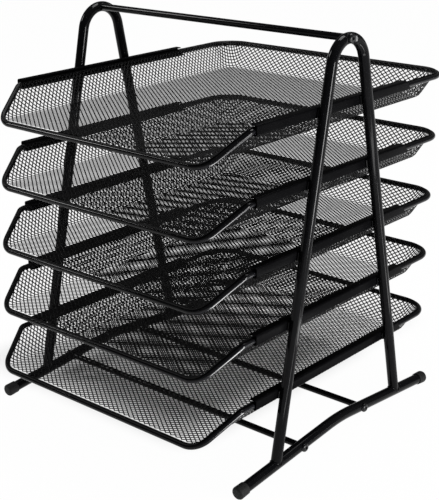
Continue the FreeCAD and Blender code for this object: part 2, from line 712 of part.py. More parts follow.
def add_floor_outline(sketch, inset):
    "Rounded rectangle where the faces of the walls would meet the face of the floor."
    half = f"{RIM_HALF_WIDTH} - ({FLOOR_INSET}) - {inset}"
    back = f"Sizes.tray_depth / 2 - ({FLOOR_INSET}) - {inset}"
    front = f"{inset} - Sizes.tray_depth / 2 - Sizes.lip_overrun"
    rear_round = f"(Sizes.rear_corner - ({FLOOR_INSET}) - {inset})"
    lip_round = f"(Sizes.lip_corner - {inset})"
    corners = [(1, f"{back} - {rear_round}", rear_round), (-1, f"{back} - {rear_round}", rear_round),
               (-1, f"{front} + {lip_round}", lip_round), (1, f"{front} + {lip_round}", lip_round)]
    arcs = []
    for quarter, (side, along, radius) in enumerate(corners):
        across = f"{side} * ({half} - {radius})"
        circle = Part.Circle(Vector(evaluate(across), evaluate(along), 0), Vector(0, 0, 1), evaluate(radius))
        arc = sketch.addGeometry(Part.ArcOfCircle(circle, quarter * math.pi / 2, (quarter + 1) * math.pi / 2))
        bind(sketch, Sketcher.Constraint("Radius", arc, evaluate(radius)), radius)
        place_point(sketch, arc, 3, across, along)
        arcs.append(arc)
    for arc, following in zip(arcs, arcs[1:] + arcs[:1]):
        ends = Part.LineSegment(sketch.getPoint(arc, 2), sketch.getPoint(following, 1))
        line = sketch.addGeometry(ends)
        sketch.addConstraint(Sketcher.Constraint("Tangent", arc, 2, line, 1))
        sketch.addConstraint(Sketcher.Constraint("Tangent", line, 2, following, 1))


for side_name, side in SIDES.items():
    build_leg_hoop(side_name, side)
    build_foot_tube(side_name, side)
    for end_name, end in ENDS.items():
        build_foot_cap(side_name, side, end_name, end)
    for tier in range(1, TIERS + 1):
        build_rail(side_name, side, tier)
build_handle_bar()
for end_name, end in ENDS.items():
    build_cross_rod(end_name, end)
build_screws()
mesh_openings = build_mesh_openings()
for tier in range(1, TIERS + 1):
    build_rim_wire(tier)
    build_mesh_basket(tier, mesh_openings)

document.recompute()
for item in document.Objects:
    if "Invalid" in item.State or "Error" in item.State:
        raise RuntimeError(f"{item.Label} failed: {item.State}")
for item in sub_parts:
    if item.Shape.isNull() or not item.Shape.isValid():
        raise RuntimeError(f"{item.Label} has no valid shape")
os.makedirs("parts", exist_ok=True)
for item in sub_parts:
    item.Shape.exportStep(f"parts/{item.Label}.step")
    print(f"{item.Label}: {len(item.Shape.Solids)} solid, {item.Shape.Volume:.0f} mm3")
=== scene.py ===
# Stack of five mesh document trays that slide in rails between two A-shaped frames of bent steel tube.
# Lengths in the sections are millimetres and become metres where a mesh is made.
import math

import bpy
import numpy as np
from mathutils import Matrix, Vector


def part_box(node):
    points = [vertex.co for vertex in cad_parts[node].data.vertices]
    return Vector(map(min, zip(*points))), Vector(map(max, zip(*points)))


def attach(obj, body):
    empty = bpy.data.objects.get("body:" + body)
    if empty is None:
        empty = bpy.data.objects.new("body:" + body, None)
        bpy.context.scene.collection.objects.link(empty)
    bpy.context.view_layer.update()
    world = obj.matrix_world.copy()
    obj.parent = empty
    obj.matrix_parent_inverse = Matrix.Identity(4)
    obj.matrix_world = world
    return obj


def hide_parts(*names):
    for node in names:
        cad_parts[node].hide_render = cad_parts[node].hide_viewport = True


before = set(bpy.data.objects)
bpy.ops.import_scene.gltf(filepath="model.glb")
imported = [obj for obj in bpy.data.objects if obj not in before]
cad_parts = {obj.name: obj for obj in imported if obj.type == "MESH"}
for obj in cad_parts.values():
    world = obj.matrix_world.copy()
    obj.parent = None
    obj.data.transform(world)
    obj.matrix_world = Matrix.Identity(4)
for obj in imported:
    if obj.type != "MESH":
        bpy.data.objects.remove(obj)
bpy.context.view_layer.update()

# Foot tubes.
# Each is one length of 10 mm steel tube, bent up a little in the middle so that only its capped ends
# stand on the desk. The whole frame is welded first and then powder coated in one glossy black.
MM = 0.001
SIDES = {"left": -1, "right": 1}
ENDS = {"front": -1, "rear": 1}
TUBE_RADIUS = 5.0
FOOT_HALF_LENGTH = 144.5
FOOT_END_HEIGHT = 5.6
FOOT_RISE = 13.3
FOOT_BEND = 180.0
FOOT_SLOPE = math.atan2(FOOT_RISE, FOOT_HALF_LENGTH)
HANDLED_PATCH = 45.0


def middle_of(node):
    "Middle of a node of the frame, in millimetres."
    low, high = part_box(node)
    return (low + high) / 2 / MM


FRAME_MIDDLE = middle_of("right_leg_hoop").y
HALF_SPACING = middle_of("right_leg_hoop").x


def linear(hex_colour):
    "Linear colour of an sRGB hex value."
    parts = [int(hex_colour[start:start + 2], 16) / 255 for start in (1, 3, 5)]
    shades = [part / 12.92 if part <= 0.04045 else ((part + 0.055) / 1.055) ** 2.4 for part in parts]
    return tuple(shades) + (1.0,)


def add_node(tree, kind, inputs=None, **settings):
    "Adds a node, with its settings, and with values or links for its inputs."
    node = tree.nodes.new(kind)
    for name, value in settings.items():
        setattr(node, name, value)
    for key, value in (inputs or {}).items():
        if isinstance(value, bpy.types.NodeSocket):
            tree.links.new(value, node.inputs[key])
        else:
            node.inputs[key].default_value = value
    return node


def coated_steel(name, colour, worn_colour, gloss, peel, peel_depth, shine=0.3):
    """Powder coat on steel: black resin melted to a skin with a faint orange peel, a little greyer where
    handling has dulled it. It gives the eye a deep black with thin, slightly wavering highlights. The peel
    is drawn at its real size, and gloss is the roughness where the skin is smooth and where it is dull."""
    material = bpy.data.materials.new(name)
    material.use_nodes = True
    tree = material.node_tree
    shader = tree.nodes["Principled BSDF"]
    place = add_node(tree, "ShaderNodeTexCoord").outputs["Object"]
    patches = add_node(tree, "ShaderNodeTexNoise",
                       {"Vector": place, "Scale": 1 / (HANDLED_PATCH * MM), "Detail": 4.0})
    tint = add_node(tree, "ShaderNodeValToRGB", {"Fac": patches.outputs["Fac"]})
    tint.color_ramp.elements[0].position = 0.35
    tint.color_ramp.elements[0].color = linear(colour)
    tint.color_ramp.elements[1].position = 0.8
    tint.color_ramp.elements[1].color = linear(worn_colour)
    dull = add_node(tree, "ShaderNodeMapRange",
                    {"Value": patches.outputs["Fac"], "From Min": 0.3, "From Max": 0.8,
                     "To Min": gloss[0], "To Max": gloss[1]})
    grain = add_node(tree, "ShaderNodeTexNoise", {"Vector": place, "Scale": 1 / (peel * MM), "Detail": 2.0})
    bump = add_node(tree, "ShaderNodeBump", {"Height": grain.outputs["Fac"], "Distance": peel_depth * MM})
    tree.links.new(tint.outputs["Color"], shader.inputs["Base Color"])
    tree.links.new(dull.outputs["Result"], shader.inputs["Roughness"])
    tree.links.new(bump.outputs["Normal"], shader.inputs["Normal"])
    shader.inputs["Specular IOR Level"].default_value = shine
    return material


def rounded_path(corners, closed=False, arc_step=6.0):
    "Points along straight runs and tangent arcs through corners, each a point with its bend radius."
    points = []
    count = len(corners)
    for number, (corner, radius) in enumerate(corners):
        corner = Vector(corner)
        if not closed and number in (0, count - 1):
            points.append(corner)
            continue
        before = (Vector(corners[number - 1][0]) - corner).normalized()
        after = (Vector(corners[(number + 1) % count][0]) - corner).normalized()
        half_angle = before.angle(after) / 2
        inward = (before + after).normalized()
        centre = corner + inward * radius / math.sin(half_angle)
        start = corner + before * radius / math.tan(half_angle) - centre
        finish = corner + after * radius / math.tan(half_angle) - centre
        turn = start.angle(finish)
        steps = max(2, math.ceil(math.degrees(turn) / arc_step))
        for step in range(steps + 1):
            share = step / steps
            points.append(centre + (start * math.sin((1 - share) * turn) + finish * math.sin(share * turn))
                          / math.sin(turn))
    return points


def new_object(name, points, edges=(), faces=()):
    "Object at the origin from points in millimetres."
    mesh = bpy.data.meshes.new(name)
    mesh.from_pydata([Vector(point) * MM for point in points], list(edges), list(faces))
    thing = bpy.data.objects.new(name, mesh)
    bpy.context.scene.collection.objects.link(thing)
    return thing


def make_plain(thing):
    "Turns what an object's modifiers give into its own mesh."
    evaluated = thing.evaluated_get(bpy.context.evaluated_depsgraph_get())
    mesh = bpy.data.meshes.new_from_object(evaluated)
    thing.modifiers.clear()
    thing.data = mesh
    mesh.name = thing.name


def run_tree(thing, tree, **values):
    "Runs a node tree on an object with its named inputs and keeps the plain mesh."
    modifier = thing.modifiers.new(tree.name, "NODES")
    modifier.node_group = tree
    for item in tree.interface.items_tree:
        if item.in_out == "INPUT" and item.name in values:
            modifier[item.identifier] = values[item.name]
    make_plain(thing)


def new_tree(name, inputs):
    "Empty geometry tree with a geometry in and out, and further named inputs."
    tree = bpy.data.node_groups.new(name, "GeometryNodeTree")
    tree.interface.new_socket("Geometry", in_out="INPUT", socket_type="NodeSocketGeometry")
    for label, kind in inputs.items():
        tree.interface.new_socket(label, in_out="INPUT", socket_type="NodeSocket" + kind)
    tree.interface.new_socket("Geometry", in_out="OUTPUT", socket_type="NodeSocketGeometry")
    return tree, add_node(tree, "NodeGroupInput").outputs


def end_tree(tree, geometry, finish):
    "Ends a tree with real geometry in one finish."
    whole = add_node(tree, "GeometryNodeRealizeInstances", {"Geometry": geometry})
    coat = add_node(tree, "GeometryNodeSetMaterial",
                    {"Geometry": whole.outputs["Geometry"], "Material": finish})
    add_node(tree, "NodeGroupOutput", {"Geometry": coat.outputs["Geometry"]})


swept_bar, given = new_tree("Swept bar", {"Radius": "Float", "Around": "Int", "Finish": "Material"})
run = add_node(swept_bar, "GeometryNodeMeshToCurve", {"Mesh": given["Geometry"]})
ring = add_node(swept_bar, "GeometryNodeCurvePrimitiveCircle",
                {"Resolution": given["Around"], "Radius": given["Radius"]})
skin = add_node(swept_bar, "GeometryNodeCurveToMesh",
                {"Curve": run.outputs["Curve"], "Profile Curve": ring.outputs["Curve"], "Fill Caps": True})
soft = add_node(swept_bar, "GeometryNodeSetShadeSmooth", {"Geometry": skin.outputs["Mesh"]})
end_tree(swept_bar, soft.outputs["Geometry"], given["Finish"])


def bent_bar(name, runs, radius, finish, around=32, closed=False):
    "Round bar or tube along one or more runs of points."
    points, edges = [], []
    for line in runs:
        first, count = len(points), len(line)
        points += line
        edges += [(first + step, first + step + 1) for step in range(count - 1)]
        if closed:
            edges.append((first + count - 1, first))
    bar = new_object(name, points, edges)
    run_tree(bar, swept_bar, Radius=radius * MM, Around=around, Finish=finish)
    return bar


def fix(thing, body, slot, *nodes):
    """"Fixes a piece to its body, in place of the nodes that it stands for. The slot is not used." """
    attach(thing, body)
    if nodes:
        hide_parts(*nodes)


frame_coat = coated_steel("Gloss black powder coat", "#08080a", "#101011", (0.06, 0.12), 1.6, 0.003, 0.09)
foot_crest = FOOT_END_HEIGHT + FOOT_RISE


def foot_point(side, along):
    "Point on the straight middle line of a foot tube, at a distance from the middle of the frame."
    return Vector((side * HALF_SPACING, FRAME_MIDDLE + along, foot_crest - abs(along) * math.tan(FOOT_SLOPE)))


for side_name, side in SIDES.items():
    ends = [(foot_point(side, end * FOOT_HALF_LENGTH), 0) for end in ENDS.values()]
    foot_run = rounded_path([ends[0], (foot_point(side, 0), FOOT_BEND), ends[1]], arc_step=0.8)
    foot = bent_bar(f"{side_name}_foot", [foot_run], TUBE_RADIUS, frame_coat)
    fix(foot, "frame", "frame_coat", f"{side_name}_foot_tube")

# Rubber caps.
# Moulded black rubber cups pushed over the ends of the foot tubes, worn flat where they stand on the desk.
CAP_RADIUS = 6.0
CAP_BORE = TUBE_RADIUS + 0.05
CAP_GRIP = 8.5
CAP_END = 3.0
CAP_ROUNDING = 2.4
CAP_MOUTH = 0.4
CAP_MOUTH_FLARE = 0.25
CAP_MOUTH_ROUNDING = 0.7
CAP_SHOULDER = 1.2
CAP_DRAFT = 0.2
RUBBER_BLOOM = 6.0
RUBBER_TOOTH = 0.7
RUBBER_TOOTH_DEPTH = 0.03


def turned(name, profile, around=48):
    "Closed solid of revolution about +X from points of place along and distance from the axis."
    points, faces = [], []
    rings = []
    for along, radius in profile:
        if radius < 1e-9:
            rings.append([len(points)])
            points.append((along, 0, 0))
            continue
        rings.append(list(range(len(points), len(points) + around)))
        for step in range(around):
            angle = 2 * math.pi * step / around
            points.append((along, radius * math.cos(angle), radius * math.sin(angle)))
    for ring_a, ring_b in zip(rings, rings[1:]):
        for step in range(around):
            following = (step + 1) % around
            corners = [ring_a[step % len(ring_a)], ring_a[following % len(ring_a)],
                       ring_b[following % len(ring_b)], ring_b[step % len(ring_b)]]
            faces.append(list(dict.fromkeys(corners)))
    return new_object(name, points, (), faces)


def quarter_round(along, radius, rounding, steps=6):
    "Profile points round the outer edge of an end at a place along the axis."
    turns = [math.pi / 2 * step / steps for step in range(steps + 1)]
    return [(along - rounding + rounding * math.sin(turn), radius - rounding + rounding * math.cos(turn))
            for turn in turns]


def place_mesh(thing, turn, point):
    "Moves a mesh, not its object, to a turn and a point in millimetres."
    thing.data.transform(Matrix.Translation(Vector(point) * MM) @ turn.to_4x4())


def soften(thing, finish, sharp_angle=35.0):
    "Smooth shading up to a sharp angle, and one finish."
    thing.data.materials.append(finish)
    thing.data.shade_smooth()
    thing.data.set_sharp_from_angle(angle=math.radians(sharp_angle))


def moulded_rubber():
    """Moulded black rubber: dull, with the fine tooth of its mould and a dusty grey bloom, so it shows no
    highlight."""
    material = bpy.data.materials.new("Moulded black rubber")
    material.use_nodes = True
    tree = material.node_tree
    shader = tree.nodes["Principled BSDF"]
    place = add_node(tree, "ShaderNodeTexCoord").outputs["Object"]
    bloom = add_node(tree, "ShaderNodeTexNoise",
                     {"Vector": place, "Scale": 1 / (RUBBER_BLOOM * MM), "Detail": 5.0})
    tint = add_node(tree, "ShaderNodeValToRGB", {"Fac": bloom.outputs["Fac"]})
    tint.color_ramp.elements[0].color = linear("#070707")
    tint.color_ramp.elements[1].color = linear("#161616")
    tooth = add_node(tree, "ShaderNodeTexNoise",
                     {"Vector": place, "Scale": 1 / (RUBBER_TOOTH * MM), "Detail": 2.0})
    bump = add_node(tree, "ShaderNodeBump",
                    {"Height": tooth.outputs["Fac"], "Distance": RUBBER_TOOTH_DEPTH * MM})
    tree.links.new(tint.outputs["Color"], shader.inputs["Base Color"])
    tree.links.new(bump.outputs["Normal"], shader.inputs["Normal"])
    shader.inputs["Roughness"].default_value = 0.7
    shader.inputs["Specular IOR Level"].default_value = 0.3
    return material


foot_rubber = moulded_rubber()
mouth = CAP_MOUTH - CAP_GRIP
cap_profile = [(0, 0), (0, CAP_BORE), (mouth, CAP_BORE), (-CAP_GRIP, CAP_BORE + CAP_MOUTH_FLARE),
               (-CAP_GRIP, CAP_RADIUS - CAP_MOUTH_ROUNDING), (mouth, CAP_RADIUS - CAP_MOUTH_FLARE),
               (CAP_SHOULDER - CAP_GRIP, CAP_RADIUS - CAP_DRAFT)]
cap_profile += quarter_round(CAP_END, CAP_RADIUS, CAP_ROUNDING) + [(CAP_END, 0)]
for side_name, side in SIDES.items():
    for end_name, end in ENDS.items():
        cap = turned(f"{side_name}_{end_name}_cap", cap_profile)
        outward = Vector((0, end * math.cos(FOOT_SLOPE), -math.sin(FOOT_SLOPE)))
        place_mesh(cap, outward.to_track_quat("X", "Z").to_matrix(), foot_point(side, end * FOOT_HALF_LENGTH))
        for vertex in cap.data.vertices:
            vertex.co.z = max(vertex.co.z, 0)
        soften(cap, foot_rubber)
        fix(cap, "frame", "foot_rubber", f"{side_name}_{end_name}_foot_cap")

# Cross rods and their screws.
# Two round steel rods hold the feet apart. A black button head screw with a hexagon socket goes through each
# foot tube into the rod's tapped end.
ROD_RADIUS = 3.0
BAR_SINK = 3.6
HEAD_RADIUS = 4.2
HEAD_HEIGHT = 2.6
HEAD_ROUNDING = 2.2
SOCKET_WIDTH = 2.5
SOCKET_DEPTH = 1.5
SOCKET_FLARE = 0.1
SOCKET_BEVEL = 0.12
SOCKET_TURN = 0.4
SHANK_LENGTH = 6.0
SHANK_RADIUS = 2.0
FOOT_SEAT = TUBE_RADIUS - 0.6
rod_along = {name: middle_of(f"{name}_cross_rod").y - FRAME_MIDDLE for name in ENDS}


def cross_bar(name, along, height, radius):
    "Straight bar between the two side frames, its ends just inside their tubes."
    reach = HALF_SPACING - BAR_SINK
    ends = [Vector((side * reach, FRAME_MIDDLE + along, height)) for side in SIDES.values()]
    return bent_bar(name, [ends], radius, frame_coat)


for end_name in ENDS:
    rod = cross_bar(f"{end_name}_rod", rod_along[end_name], middle_of(f"{end_name}_cross_rod").z, ROD_RADIUS)
    fix(rod, "frame", "frame_coat", f"{end_name}_cross_rod")


def button_head():
    "Domed screw head about +X with a hexagon socket and a short shank."
    around = 36
    dome = quarter_round(HEAD_HEIGHT, HEAD_RADIUS, HEAD_ROUNDING, 8)
    rings = [(-SHANK_LENGTH, SHANK_RADIUS, False), (0, SHANK_RADIUS, False), (0, HEAD_RADIUS, False)]
    rings += [(along, radius, False) for along, radius in dome]
    rings += [(HEAD_HEIGHT, SOCKET_WIDTH / 2 + SOCKET_FLARE, True),
              (HEAD_HEIGHT - SOCKET_BEVEL, SOCKET_WIDTH / 2, True),
              (HEAD_HEIGHT - SOCKET_DEPTH, SOCKET_WIDTH / 2, True)]
    points, faces = [], []
    for along, radius, hexagon in rings:
        for step in range(around):
            angle = 2 * math.pi * step / around
            reach = radius / math.cos(angle % (math.pi / 3) - math.pi / 6) if hexagon else radius
            points.append((along, reach * math.cos(angle), reach * math.sin(angle)))
    for row in range(len(rings) - 1):
        for step in range(around):
            following = (step + 1) % around
            faces.append([row * around + step, row * around + following,
                          (row + 1) * around + following, (row + 1) * around + step])
    faces.append(list(range(around))[::-1])
    faces.append(list(range((len(rings) - 1) * around, len(rings) * around)))
    return new_object("button_head", points, (), faces)


set_screws, given = new_tree("Screws on seats", {"Screw": "Object", "Finish": "Material"})
aim = add_node(set_screws, "GeometryNodeInputNamedAttribute", {"Name": "aim"}, data_type="FLOAT_VECTOR")
model = add_node(set_screws, "GeometryNodeObjectInfo", {"Object": given["Screw"], "As Instance": True})
stand = add_node(set_screws, "GeometryNodeMeshToPoints", {"Mesh": given["Geometry"]})
spread = add_node(set_screws, "GeometryNodeInstanceOnPoints",
                  {"Points": stand.outputs["Points"], "Instance": model.outputs["Geometry"],
                   "Rotation": aim.outputs["Attribute"]})
end_tree(set_screws, spread.outputs["Instances"], given["Finish"])
screw_coat = coated_steel("Black oxide screw steel", "#0d0d0e", "#1b1b1d", (0.24, 0.38), 0.9, 0.006)
screw_model = button_head()
screw_model.data.shade_smooth()
screw_model.data.set_sharp_from_angle(angle=math.radians(35))


def screw_set(name, seats):
    "Screws on seats, each a point and the side it faces."
    group = new_object(name, [point for point, side in seats])
    turns = group.data.attributes.new("aim", "FLOAT_VECTOR", "POINT")
    for number, (point, side) in enumerate(seats):
        turns.data[number].vector = (SOCKET_TURN * number, 0, 0 if side > 0 else math.pi)
    run_tree(group, set_screws, Screw=screw_model, Finish=screw_coat)
    return group


rod_seats = [(foot_point(side, rod_along[end]) + Vector((side * FOOT_SEAT, 0, 0)), side)
             for side in SIDES.values() for end in ENDS]
fix(screw_set("rod_screws", rod_seats), "frame", "screw_coat", "cross_rod_screws")

# Leg hoops.
# Each side's two legs are one tube, bent over at the top, cut to a saddle at the bottom and welded to the
# foot. At the top the outer wall is pressed in, and the handle's screw sits in that dimple.
LEG_HALF_SPREAD = 94.0
APEX_BEND = 24.0
DIMPLE_DEPTH = 2.4
DIMPLE_FLAT = 3.6
DIMPLE_FADE = 9.5
DIMPLE_CURVE = 0.12
SEAM_POINTS = 48
WELD_RADIUS = 0.9
apex_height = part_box("right_leg_hoop")[1].z / MM - TUBE_RADIUS
leg_foot_height = foot_point(1, LEG_HALF_SPREAD).z
bend_below = apex_height - APEX_BEND - leg_foot_height
leg_lean = (math.atan2(LEG_HALF_SPREAD, bend_below)
            - math.asin(APEX_BEND / math.hypot(LEG_HALF_SPREAD, bend_below)))
virtual_apex = leg_foot_height + LEG_HALF_SPREAD / math.tan(leg_lean)


def leg_point(side, end, height):
    "Point on the straight middle line of a leg."
    along = LEG_HALF_SPREAD - (height - leg_foot_height) * math.tan(leg_lean)
    return Vector((side * HALF_SPACING, FRAME_MIDDLE + end * along, height))


def press_dimple(hoop, side):
    "Presses in the outer wall at the top of a hoop to a nearly flat seat that fades out along the bend."
    for vertex in hoop.data.vertices:
        across = side * vertex.co.x / MM - HALF_SPACING
        along = vertex.co.y / MM - FRAME_MIDDLE
        above = vertex.co.z / MM - apex_height
        if above < -APEX_BEND / 2:
            continue
        fade = min(max((DIMPLE_FADE - abs(along)) / (DIMPLE_FADE - DIMPLE_FLAT), 0), 1)
        press = fade * fade * (3 - 2 * fade)
        limit = TUBE_RADIUS - DIMPLE_DEPTH * press
        if across > limit:
            across = limit + DIMPLE_CURVE * (across - limit)
        vertex.co.x = side * (HALF_SPACING + across) * MM


for side_name, side in SIDES.items():
    ends = [(leg_point(side, end, leg_foot_height), 0) for end in ENDS.values()]
    top = (Vector((side * HALF_SPACING, FRAME_MIDDLE, virtual_apex)), APEX_BEND)
    hoop_run = rounded_path([ends[0], top, ends[1]], arc_step=2.0)
    hoop = bent_bar(f"{side_name}_hoop", [hoop_run], TUBE_RADIUS, frame_coat, around=48)
    press_dimple(hoop, side)
    fix(hoop, "frame", "frame_coat", f"{side_name}_leg_hoop")


def saddle_seam(side, end):
    "Closed line where a leg's skin meets the skin of its foot tube."
    joint = leg_point(side, end, leg_foot_height)
    leg = Vector((0, -end * math.sin(leg_lean), math.cos(leg_lean)))
    foot_line = Vector((0, end * math.cos(FOOT_SLOPE), -math.sin(FOOT_SLOPE)))
    across = Vector((1, 0, 0))
    along = leg.cross(across)
    cosine = leg.dot(foot_line)
    seam = []
    for step in range(SEAM_POINTS):
        angle = 2 * math.pi * (step + 0.5) / SEAM_POINTS
        spoke = TUBE_RADIUS * (across * math.cos(angle) + along * math.sin(angle))
        slant = spoke.dot(foot_line)
        square = 1 - cosine * cosine
        rise = (slant * cosine + math.sqrt(slant * slant * cosine * cosine + square * slant * slant)) / square
        seam.append(joint + spoke + leg * rise)
    return seam


seams = [saddle_seam(side, end) for side in SIDES.values() for end in ENDS.values()]
fix(bent_bar("foot_welds", seams, WELD_RADIUS, frame_coat, around=10, closed=True), "frame", "frame_coat")

# Rails.
# Ten channels folded from 1 mm sheet steel, open towards the trays, with the rear end cut to a slant. Their
# webs are welded to the inner sides of the legs with a short bead on each side of every leg.
RAIL_FLANGE = 7.5
RAIL_HEIGHT = 9.4
RAIL_RAKE = 7.6
SHEET = 1.0
RAIL_FOLD = 1.8
RAIL_EDGE = 0.15
BEAD_MARGIN = 1.4
BEAD_HEIGHTS = (BEAD_MARGIN, RAIL_HEIGHT / 2, RAIL_HEIGHT - BEAD_MARGIN)
TIERS = range(1, 6)


def fold_arc(centre, radius, start, steps=5):
    "Quarter turn of a folded corner, from an angle in degrees, clockwise."
    turns = [math.radians(start - 90 * step / steps) for step in range(steps + 1)]
    return [(centre[0] + radius * math.cos(turn), centre[1] + radius * math.sin(turn)) for turn in turns]


def channel_section():
    "Outline of a rail's sheet: distance inward from the web's outer face, and height."
    low, high = RAIL_FOLD, RAIL_HEIGHT - RAIL_FOLD
    outside = [(RAIL_FLANGE, 0)] + fold_arc((RAIL_FOLD, low), RAIL_FOLD, 270)
    outside += fold_arc((RAIL_FOLD, high), RAIL_FOLD, 180) + [(RAIL_FLANGE, RAIL_HEIGHT)]
    inside = [(RAIL_FLANGE, SHEET)] + fold_arc((RAIL_FOLD, low), RAIL_FOLD - SHEET, 270)
    inside += fold_arc((RAIL_FOLD, high), RAIL_FOLD - SHEET, 180) + [(RAIL_FLANGE, RAIL_HEIGHT - SHEET)]
    return outside + inside[::-1]


def long_section(name, section, side, face, front, back, base):
    "Straight bar of one section between two places along Y, its outer face at a distance from the middle."
    points, faces = [], []
    count = len(section)
    for along, rake in ((front, 0), (back, RAIL_RAKE)):
        points += [(side * (face - inward), along - rake * up / RAIL_HEIGHT, base + up)
                   for inward, up in section]
    for step in range(count):
        following = (step + 1) % count
        faces.append([step, following, count + following, count + step])
    faces += [list(range(count))[::-1], list(range(count, 2 * count))]
    if side < 0:
        faces = [corners[::-1] for corners in faces]
    return new_object(name, points, (), faces)


rail_coat = coated_steel("Satin black powder coat", "#070708", "#0d0d0e", (0.28, 0.38), 1.3, 0.008, 0.015)
bead_runs = []
for side_name, side in SIDES.items():
    for tier in TIERS:
        low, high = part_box(f"{side_name}_rail_{tier}")
        face = max(abs(low.x), abs(high.x)) / MM
        rail = long_section(f"{side_name}_channel_{tier}", channel_section(), side, face,
                            low.y / MM, high.y / MM, low.z / MM)
        edges = rail.modifiers.new("Sheared edges", "BEVEL")
        edges.width = RAIL_EDGE * MM
        edges.segments = 2
        edges.limit_method = "ANGLE"
        edges.angle_limit = math.radians(50)
        make_plain(rail)
        soften(rail, rail_coat)
        fix(rail, "frame", "rail_coat", f"{side_name}_rail_{tier}")
        wedge = math.sqrt(4 * TUBE_RADIUS * WELD_RADIUS)
        for end in ENDS.values():
            for flank in (-1, 1):
                corner = Vector((side * (face + WELD_RADIUS - HALF_SPACING), flank * wedge, 0))
                bead_runs.append([leg_point(side, end, low.z / MM + up) + corner for up in BEAD_HEIGHTS])
fix(bent_bar("rail_welds", bead_runs, WELD_RADIUS, frame_coat, around=10), "frame", "frame_coat")

# Handle bar.
# A round steel bar across the tops of the two hoops, to carry the stack by, held by a screw at each end.
HANDLE_RADIUS = 3.25
handle = cross_bar("handle", 0, apex_height, HANDLE_RADIUS)
fix(handle, "frame", "frame_coat", "handle_bar")
top_seats = [(Vector((side * (HALF_SPACING + TUBE_RADIUS - DIMPLE_DEPTH), FRAME_MIDDLE, apex_height)), side)
             for side in SIDES.values()]
fix(screw_set("top_screws", top_seats), "frame", "screw_coat", "handle_screws")
bpy.data.objects.remove(screw_model)

# Tray rim wires.
# One closed loop of 5 mm wire to a tray: level along the back and the sides, where it slides in the rails,
# and bent down past the rails to a low front lip that leaves the paper's edge free.
WIRE_RADIUS = 2.5
TRAY_HALF_DEPTH = 170.25
REAR_CORNER = 28.0
LIP_RUN = 38.5
LIP_DROP = 25.5
LIP_CORNER = 20.0
LIP_BEND = 7.0
WALL_ANGLE = math.radians(57)
rim_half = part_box("tray_1_rim_wire")[1].x / MM - WIRE_RADIUS
lip_half = rim_half - LIP_DROP / math.tan(WALL_ANGLE)
right_corners = [((rim_half, TRAY_HALF_DEPTH, 0), REAR_CORNER),
                 ((rim_half, LIP_RUN - TRAY_HALF_DEPTH, 0), LIP_BEND),
                 ((lip_half, -TRAY_HALF_DEPTH, -LIP_DROP), LIP_CORNER)]
left_corners = [((-point[0], point[1], point[2]), radius) for point, radius in reversed(right_corners)]
rim_run = rounded_path(right_corners + left_corners, closed=True, arc_step=5.0)


def tray_place(tier):
    "Middle of a tray at the height of its rim wire."
    low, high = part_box(f"tray_{tier}_rim_wire")
    return Vector((0, (low.y + high.y) / 2 / MM, high.z / MM - WIRE_RADIUS))


wire_coat = coated_steel("Gloss black coat on wire", "#08080a", "#101011", (0.05, 0.09), 1.8, 0.003, 0.15)
for tier in TIERS:
    spot = tray_place(tier)
    rim = bent_bar(f"tray_{tier}_rim", [[point + spot for point in rim_run]], WIRE_RADIUS, wire_coat,
                   around=24, closed=True)
    fix(rim, f"tray_{tier}", "wire_coat", f"tray_{tier}_rim_wire")

# Tray mesh.
# A thin sheet of expanded steel, slit and stretched to diamonds, pressed to a floor with sloping back and
# side walls. Its flat strands run in two slanting families from hem to hem, under a black powder coat.
# Each sheet is stretched a little differently, so a tray's diamonds have a long and a short way of their own.
DIAMONDS = {1: (6.15, 4.72), 2: (5.9, 4.6), 3: (6.35, 4.27), 4: (6.1, 4.57), 5: (6.2, 4.53)}
STRAND_WIDTH = 1.05
STRAND_THICKNESS = 0.32
FOLD_RADIUS = 8.5
MESH_FLOOR = -22.5
HEM_INSET = 2.4
SHEET_REACH = 260.0
CUT_HALVINGS = 12
sheet_offset = WIRE_RADIUS + SHEET / 2
floor_inset = (sheet_offset * math.sin(WALL_ANGLE)
               + (-MESH_FLOOR + sheet_offset * math.cos(WALL_ANGLE)) / math.tan(WALL_ANGLE))
fold_inset = floor_inset + FOLD_RADIUS * math.tan(WALL_ANGLE / 2)
flat_half = rim_half - fold_inset
flat_back = TRAY_HALF_DEPTH - fold_inset
flat_corner = REAR_CORNER - fold_inset
rim_plan = np.array([(point.x, point.y) for point in rim_run])


def press_sheet(flat):
    "Places and normals on the pressed sheet, bent up along the floor's outline, of points on the flat one."
    across, along = np.abs(flat[:, 0]), flat[:, 1]
    past = np.stack([np.maximum(across - (flat_half - flat_corner), 0),
                     np.maximum(along - (flat_back - flat_corner), 0)], axis=1)
    reach = np.hypot(past[:, 0], past[:, 1])
    beyond = np.maximum(reach - flat_corner, 0)
    way = past / np.maximum(reach, 1e-9)[:, None]
    bend = np.minimum(beyond / FOLD_RADIUS, WALL_ANGLE)
    slope = np.maximum(beyond - FOLD_RADIUS * WALL_ANGLE, 0)
    out = FOLD_RADIUS * np.sin(bend) + slope * math.cos(WALL_ANGLE)
    up = FOLD_RADIUS * (1 - np.cos(bend)) + slope * math.sin(WALL_ANGLE)
    shift = (out - beyond)[:, None] * way
    side = np.where(flat[:, 0] < 0, -1, 1)
    spots = np.stack([flat[:, 0] + side * shift[:, 0], along + shift[:, 1], MESH_FLOOR + up], axis=1)
    lean = -np.sin(bend)[:, None] * way
    return spots, np.stack([side * lean[:, 0], lean[:, 1], np.cos(bend)], axis=1)


